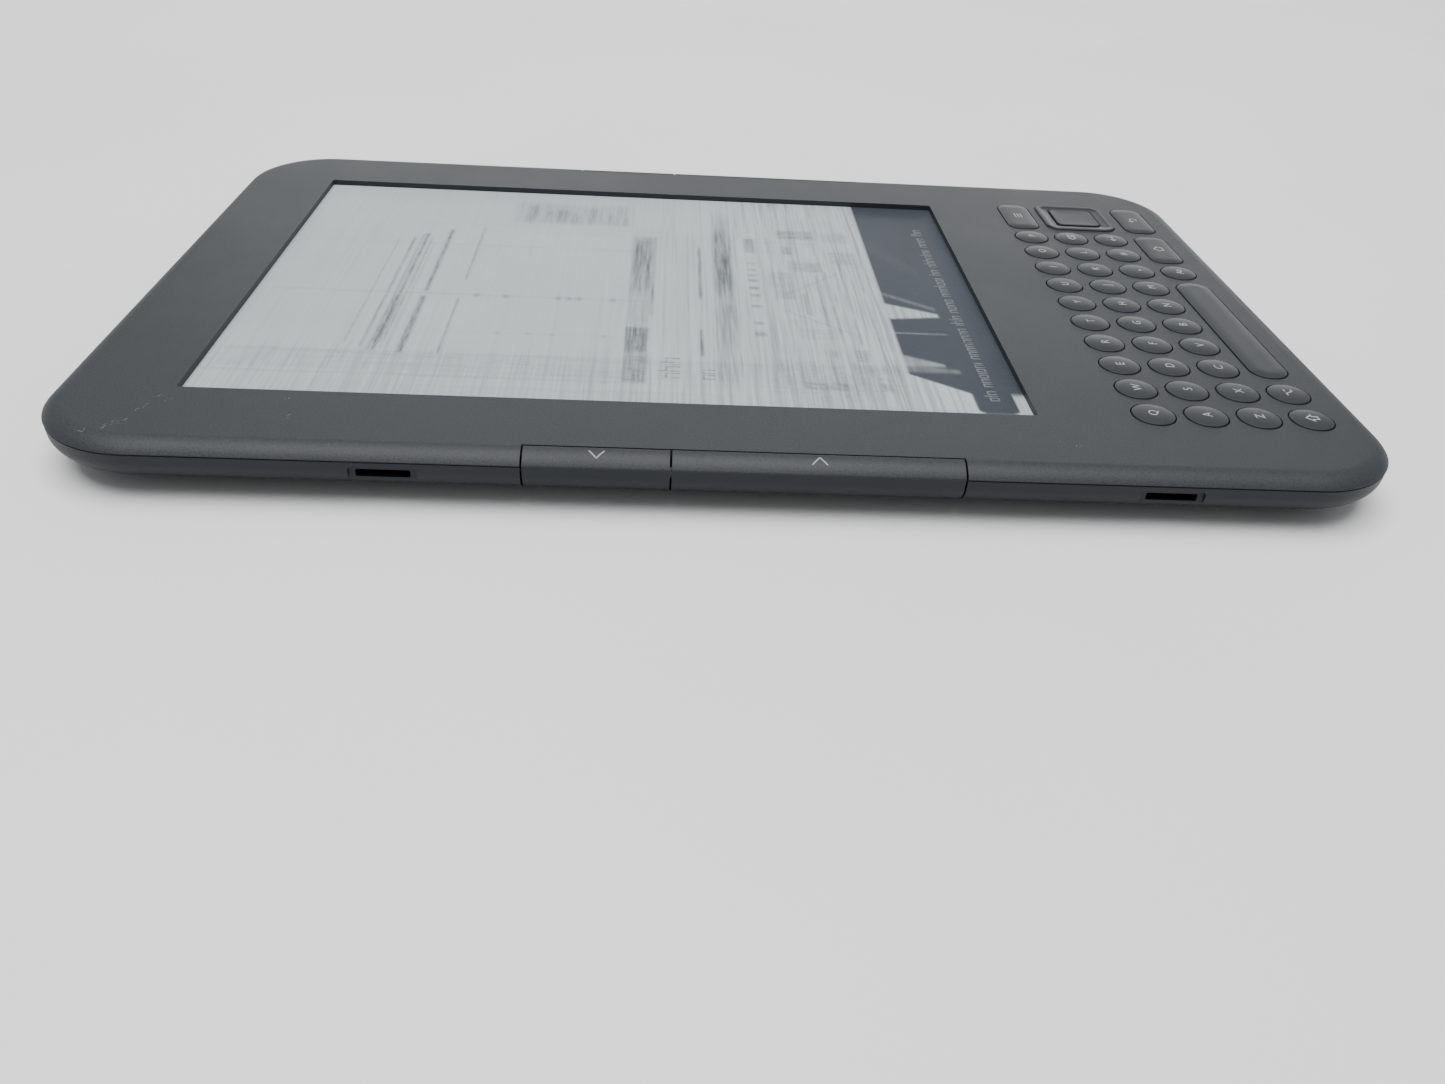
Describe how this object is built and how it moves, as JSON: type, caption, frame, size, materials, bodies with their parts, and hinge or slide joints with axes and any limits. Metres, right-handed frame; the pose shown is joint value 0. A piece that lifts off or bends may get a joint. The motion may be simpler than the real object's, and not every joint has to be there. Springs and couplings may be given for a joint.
{
  "type": "e-reader with keyboard",
  "caption": "Slim slab-shaped reading tablet with an e-paper screen, a keyboard of round keys, a square five-way pad and page-turn buttons on both long sides.",
  "frame": {"origin": "middle of the flat back, on the surface that the reader lies on", "axes": "+X across the reader from its left long side to its right one, +Y along it from the keyboard towards the top edge, +Z out of the screen"},
  "size_m": [0.123, 0.19, 0.0089],
  "materials": {
    "bezel": "graphite plastic with a fine matt grain",
    "rear_shell": "dark soft-touch plastic",
    "page_button": "graphite plastic with a fine matt grain",
    "key_cap": "graphite plastic, a little smoother than the case",
    "pad_ring": "graphite plastic, a little smoother than the case",
    "pad_select": "graphite plastic, a little smoother than the case",
    "edge_control": "dark matt plastic",
    "legend": "pale grey printed marks",
    "screen": "matt e-paper with a pale grey-green ground",
    "frame_metal": "bare die-cast frame",
    "battery_wrap": "black shrink wrap",
    "circuit_board": "green solder mask",
    "shield_metal": "plain tinned steel",
    "black_plastic": "black moulded plastic",
    "port_metal": "folded steel shell",
    "screw_steel": "zinc plated steel"
  },
  "bodies": {
    "case": {"front_bezel": "bezel", "rear_cover": "rear_shell", "mid_frame": "frame_metal", "display_panel": "screen", "battery": "battery_wrap", "main_board": "circuit_board", "shield_cans": "shield_metal", "wireless_module": "shield_metal", "keypad_board": "circuit_board", "speakers": "black_plastic", "page_switches": "black_plastic", "headphone_jack": "black_plastic", "usb_port": "port_metal", "frame_screws": "screw_steel"},
    "page_prev_left": {"page_prev_left": "page_button"},
    "page_prev_right": {"page_prev_right": "page_button"},
    "page_next_left": {"page_next_left": "page_button"},
    "page_next_right": {"page_next_right": "page_button"},
    "five_way_web": {"five_way_web": "black_plastic"},
    "five_way_ring": {"five_way_ring": "pad_ring"},
    "five_way_select": {"five_way_select": "pad_select"},
    "volume_rocker": {"volume_rocker": "edge_control"},
    "power_slider": {"power_slider": "edge_control"},
    "key_q": {"key_q": "key_cap"},
    "key_w": {"key_w": "key_cap"},
    "key_e": {"key_e": "key_cap"},
    "key_r": {"key_r": "key_cap"},
    "key_t": {"key_t": "key_cap"},
    "key_y": {"key_y": "key_cap"},
    "key_u": {"key_u": "key_cap"},
    "key_i": {"key_i": "key_cap"},
    "key_o": {"key_o": "key_cap"},
    "key_p": {"key_p": "key_cap"},
    "key_a": {"key_a": "key_cap"},
    "key_s": {"key_s": "key_cap"},
    "key_d": {"key_d": "key_cap"},
    "key_f": {"key_f": "key_cap"},
    "key_g": {"key_g": "key_cap"},
    "key_h": {"key_h": "key_cap"},
    "key_j": {"key_j": "key_cap"},
    "key_k": {"key_k": "key_cap"},
    "key_l": {"key_l": "key_cap"},
    "key_delete": {"key_delete": "key_cap"},
    "key_z": {"key_z": "key_cap"},
    "key_x": {"key_x": "key_cap"},
    "key_c": {"key_c": "key_cap"},
    "key_v": {"key_v": "key_cap"},
    "key_b": {"key_b": "key_cap"},
    "key_n": {"key_n": "key_cap"},
    "key_m": {"key_m": "key_cap"},
    "key_full_stop": {"key_full_stop": "key_cap"},
    "key_symbol": {"key_symbol": "key_cap"},
    "key_enter": {"key_enter": "key_cap"},
    "key_shift": {"key_shift": "key_cap"},
    "key_alt": {"key_alt": "key_cap"},
    "key_text_size": {"key_text_size": "key_cap"},
    "key_space": {"key_space": "key_cap"},
    "key_menu": {"key_menu": "key_cap"},
    "key_home": {"key_home": "key_cap"},
    "key_back": {"key_back": "key_cap"}
  },
  "joints": [
    {"name": "page_prev_left_press", "type": "hinge", "parent": "case", "child": "page_prev_left", "pos_m": [-0.057, 0.0189, 0.0063], "axis": [0, -1, 0], "range_deg": [0, 4], "stiffness_Nm_per_rad": 0.05},
    {"name": "page_prev_right_press", "type": "hinge", "parent": "case", "child": "page_prev_right", "pos_m": [0.057, 0.0189, 0.0063], "axis": [0, 1, 0], "range_deg": [0, 4], "stiffness_Nm_per_rad": 0.05},
    {"name": "page_next_left_press", "type": "hinge", "parent": "case", "child": "page_next_left", "pos_m": [-0.057, -0.0109, 0.0063], "axis": [0, -1, 0], "range_deg": [0, 4], "stiffness_Nm_per_rad": 0.05},
    {"name": "page_next_right_press", "type": "hinge", "parent": "case", "child": "page_next_right", "pos_m": [0.057, -0.0109, 0.0063], "axis": [0, 1, 0], "range_deg": [0, 4], "stiffness_Nm_per_rad": 0.05},
    {"name": "five_way_up_down", "type": "hinge", "parent": "case", "child": "five_way_web", "pos_m": [0.041, -0.0737, 0.00625], "axis": [1, 0, 0], "range_deg": [-1.5, 1.5], "stiffness_Nm_per_rad": 0.05},
    {"name": "five_way_left_right", "type": "hinge", "parent": "five_way_web", "child": "five_way_ring", "pos_m": [0.041, -0.0737, 0.00625], "axis": [0, 1, 0], "range_deg": [-1.5, 1.5], "stiffness_Nm_per_rad": 0.05},
    {"name": "five_way_select_press", "type": "slide", "parent": "case", "child": "five_way_select", "axis": [0, 0, -1], "range_m": [0, 0.00025], "stiffness_N_per_m": 300},
    {"name": "volume_rock", "type": "hinge", "parent": "case", "child": "volume_rocker", "pos_m": [-0.033, -0.0922, 0.0049], "axis": [0, 0, 1], "range_deg": [-3, 3], "stiffness_Nm_per_rad": 0.05},
    {"name": "power_slide", "type": "slide", "parent": "case", "child": "power_slider", "axis": [1, 0, 0], "range_m": [0, 0.003], "stiffness_N_per_m": 150},
    {"name": "key_space_press", "type": "slide", "parent": "case", "child": "key_space", "axis": [0, 0, -1], "range_m": [0, 0.0003], "stiffness_N_per_m": 300},
    {"name": "key_menu_press", "type": "slide", "parent": "case", "child": "key_menu", "axis": [0, 0, -1], "range_m": [0, 0.0003], "stiffness_N_per_m": 300},
    {"name": "key_home_press", "type": "slide", "parent": "case", "child": "key_home", "axis": [0, 0, -1], "range_m": [0, 0.0003], "stiffness_N_per_m": 300},
    {"name": "key_back_press", "type": "slide", "parent": "case", "child": "key_back", "axis": [0, 0, -1], "range_m": [0, 0.0003], "stiffness_N_per_m": 300},
    {"name": "key_q_press", "type": "slide", "parent": "case", "child": "key_q", "axis": [0, 0, -1], "range_m": [0, 0.0003], "stiffness_N_per_m": 300},
    {"name": "key_w_press", "type": "slide", "parent": "case", "child": "key_w", "axis": [0, 0, -1], "range_m": [0, 0.0003], "stiffness_N_per_m": 300},
    {"name": "key_e_press", "type": "slide", "parent": "case", "child": "key_e", "axis": [0, 0, -1], "range_m": [0, 0.0003], "stiffness_N_per_m": 300},
    {"name": "key_r_press", "type": "slide", "parent": "case", "child": "key_r", "axis": [0, 0, -1], "range_m": [0, 0.0003], "stiffness_N_per_m": 300},
    {"name": "key_t_press", "type": "slide", "parent": "case", "child": "key_t", "axis": [0, 0, -1], "range_m": [0, 0.0003], "stiffness_N_per_m": 300},
    {"name": "key_y_press", "type": "slide", "parent": "case", "child": "key_y", "axis": [0, 0, -1], "range_m": [0, 0.0003], "stiffness_N_per_m": 300},
    {"name": "key_u_press", "type": "slide", "parent": "case", "child": "key_u", "axis": [0, 0, -1], "range_m": [0, 0.0003], "stiffness_N_per_m": 300},
    {"name": "key_i_press", "type": "slide", "parent": "case", "child": "key_i", "axis": [0, 0, -1], "range_m": [0, 0.0003], "stiffness_N_per_m": 300},
    {"name": "key_o_press", "type": "slide", "parent": "case", "child": "key_o", "axis": [0, 0, -1], "range_m": [0, 0.0003], "stiffness_N_per_m": 300},
    {"name": "key_p_press", "type": "slide", "parent": "case", "child": "key_p", "axis": [0, 0, -1], "range_m": [0, 0.0003], "stiffness_N_per_m": 300},
    {"name": "key_a_press", "type": "slide", "parent": "case", "child": "key_a", "axis": [0, 0, -1], "range_m": [0, 0.0003], "stiffness_N_per_m": 300},
    {"name": "key_s_press", "type": "slide", "parent": "case", "child": "key_s", "axis": [0, 0, -1], "range_m": [0, 0.0003], "stiffness_N_per_m": 300},
    {"name": "key_d_press", "type": "slide", "parent": "case", "child": "key_d", "axis": [0, 0, -1], "range_m": [0, 0.0003], "stiffness_N_per_m": 300},
    {"name": "key_f_press", "type": "slide", "parent": "case", "child": "key_f", "axis": [0, 0, -1], "range_m": [0, 0.0003], "stiffness_N_per_m": 300},
    {"name": "key_g_press", "type": "slide", "parent": "case", "child": "key_g", "axis": [0, 0, -1], "range_m": [0, 0.0003], "stiffness_N_per_m": 300},
    {"name": "key_h_press", "type": "slide", "parent": "case", "child": "key_h", "axis": [0, 0, -1], "range_m": [0, 0.0003], "stiffness_N_per_m": 300},
    {"name": "key_j_press", "type": "slide", "parent": "case", "child": "key_j", "axis": [0, 0, -1], "range_m": [0, 0.0003], "stiffness_N_per_m": 300},
    {"name": "key_k_press", "type": "slide", "parent": "case", "child": "key_k", "axis": [0, 0, -1], "range_m": [0, 0.0003], "stiffness_N_per_m": 300},
    {"name": "key_l_press", "type": "slide", "parent": "case", "child": "key_l", "axis": [0, 0, -1], "range_m": [0, 0.0003], "stiffness_N_per_m": 300},
    {"name": "key_delete_press", "type": "slide", "parent": "case", "child": "key_delete", "axis": [0, 0, -1], "range_m": [0, 0.0003], "stiffness_N_per_m": 300},
    {"name": "key_z_press", "type": "slide", "parent": "case", "child": "key_z", "axis": [0, 0, -1], "range_m": [0, 0.0003], "stiffness_N_per_m": 300},
    {"name": "key_x_press", "type": "slide", "parent": "case", "child": "key_x", "axis": [0, 0, -1], "range_m": [0, 0.0003], "stiffness_N_per_m": 300},
    {"name": "key_c_press", "type": "slide", "parent": "case", "child": "key_c", "axis": [0, 0, -1], "range_m": [0, 0.0003], "stiffness_N_per_m": 300},
    {"name": "key_v_press", "type": "slide", "parent": "case", "child": "key_v", "axis": [0, 0, -1], "range_m": [0, 0.0003], "stiffness_N_per_m": 300},
    {"name": "key_b_press", "type": "slide", "parent": "case", "child": "key_b", "axis": [0, 0, -1], "range_m": [0, 0.0003], "stiffness_N_per_m": 300},
    {"name": "key_n_press", "type": "slide", "parent": "case", "child": "key_n", "axis": [0, 0, -1], "range_m": [0, 0.0003], "stiffness_N_per_m": 300},
    {"name": "key_m_press", "type": "slide", "parent": "case", "child": "key_m", "axis": [0, 0, -1], "range_m": [0, 0.0003], "stiffness_N_per_m": 300},
    {"name": "key_full_stop_press", "type": "slide", "parent": "case", "child": "key_full_stop", "axis": [0, 0, -1], "range_m": [0, 0.0003], "stiffness_N_per_m": 300},
    {"name": "key_symbol_press", "type": "slide", "parent": "case", "child": "key_symbol", "axis": [0, 0, -1], "range_m": [0, 0.0003], "stiffness_N_per_m": 300},
    {"name": "key_enter_press", "type": "slide", "parent": "case", "child": "key_enter", "axis": [0, 0, -1], "range_m": [0, 0.0003], "stiffness_N_per_m": 300},
    {"name": "key_shift_press", "type": "slide", "parent": "case", "child": "key_shift", "axis": [0, 0, -1], "range_m": [0, 0.0003], "stiffness_N_per_m": 300},
    {"name": "key_alt_press", "type": "slide", "parent": "case", "child": "key_alt", "axis": [0, 0, -1], "range_m": [0, 0.0003], "stiffness_N_per_m": 300},
    {"name": "key_text_size_press", "type": "slide", "parent": "case", "child": "key_text_size", "axis": [0, 0, -1], "range_m": [0, 0.0003], "stiffness_N_per_m": 300}
  ]
}
